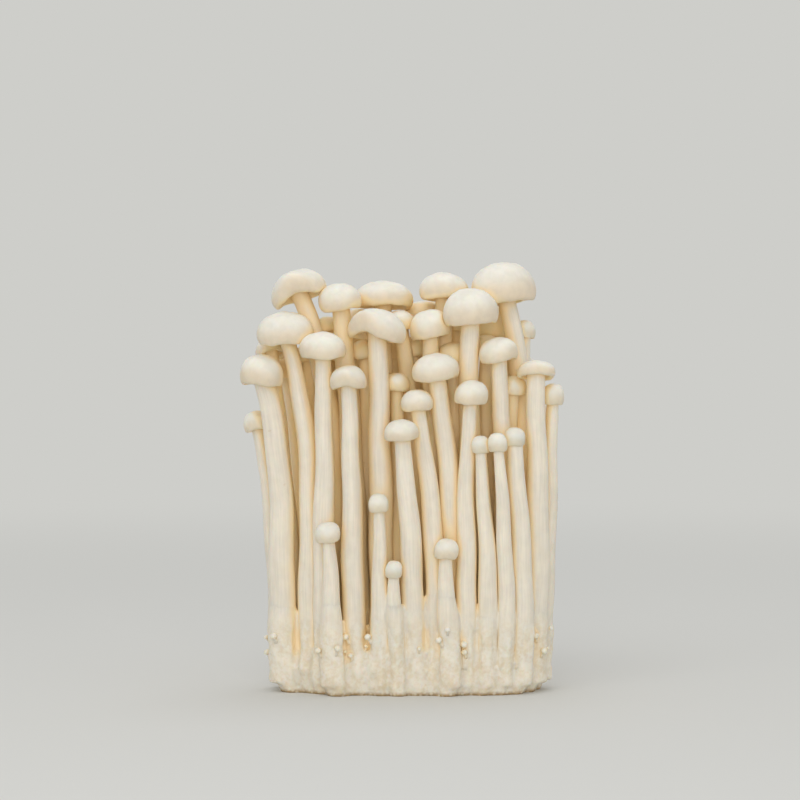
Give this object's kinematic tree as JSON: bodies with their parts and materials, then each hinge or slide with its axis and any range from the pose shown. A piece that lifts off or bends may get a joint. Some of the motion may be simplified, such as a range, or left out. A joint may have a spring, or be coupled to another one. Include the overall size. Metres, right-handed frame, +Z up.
{
  "type": "white shimeji mushroom bunch",
  "caption": "Bunch of white shimeji mushrooms: slim stems with small domed caps, grown together at a flat-cut foot on which it stands.",
  "frame": {"origin": "middle of the flat cut under the foot", "axes": "+Z up along the stems, +X across the bunch's width, +Y to its back"},
  "size_m": [0.0998, 0.0498, 0.1326],
  "materials": {
    "mushroom": "smooth, dry and matt, ivory white, faintly translucent at the rims",
    "foot": "matt, fibrous cut flesh, a little browner than the mushrooms"
  },
  "bodies": {
    "root": {"back_mushroom_1": "mushroom", "back_mushroom_10": "mushroom", "back_mushroom_11": "mushroom", "back_mushroom_12": "mushroom", "back_mushroom_2": "mushroom", "back_mushroom_3": "mushroom", "back_mushroom_4": "mushroom", "back_mushroom_5": "mushroom", "back_mushroom_6": "mushroom", "back_mushroom_7": "mushroom", "back_mushroom_8": "mushroom", "back_mushroom_9": "mushroom", "front_mushroom_1": "mushroom", "front_mushroom_2": "mushroom", "front_mushroom_3": "mushroom", "front_mushroom_4": "mushroom", "front_mushroom_5": "mushroom", "front_mushroom_6": "mushroom", "front_mushroom_7": "mushroom", "inner_mushroom_1": "mushroom", "inner_mushroom_2": "mushroom", "inner_mushroom_3": "mushroom", "inner_mushroom_4": "mushroom", "inner_mushroom_5": "mushroom", "inner_mushroom_6": "mushroom", "inner_mushroom_7": "mushroom", "joined_foot": "foot", "middle_mushroom_1": "mushroom", "middle_mushroom_10": "mushroom", "middle_mushroom_11": "mushroom", "middle_mushroom_12": "mushroom", "middle_mushroom_2": "mushroom", "middle_mushroom_3": "mushroom", "middle_mushroom_4": "mushroom", "middle_mushroom_5": "mushroom", "middle_mushroom_6": "mushroom", "middle_mushroom_7": "mushroom", "middle_mushroom_8": "mushroom", "middle_mushroom_9": "mushroom", "top_mushroom_1": "mushroom", "top_mushroom_2": "mushroom", "top_mushroom_3": "mushroom", "top_mushroom_4": "mushroom", "top_mushroom_5": "mushroom", "top_mushroom_6": "mushroom", "top_mushroom_7": "mushroom", "top_mushroom_8": "mushroom", "top_mushroom_9": "mushroom", "young_mushroom_1": "mushroom", "young_mushroom_2": "mushroom", "young_mushroom_3": "mushroom", "young_mushroom_4": "mushroom", "young_mushroom_5": "mushroom", "young_mushroom_6": "mushroom"}
  },
  "joints": []
}
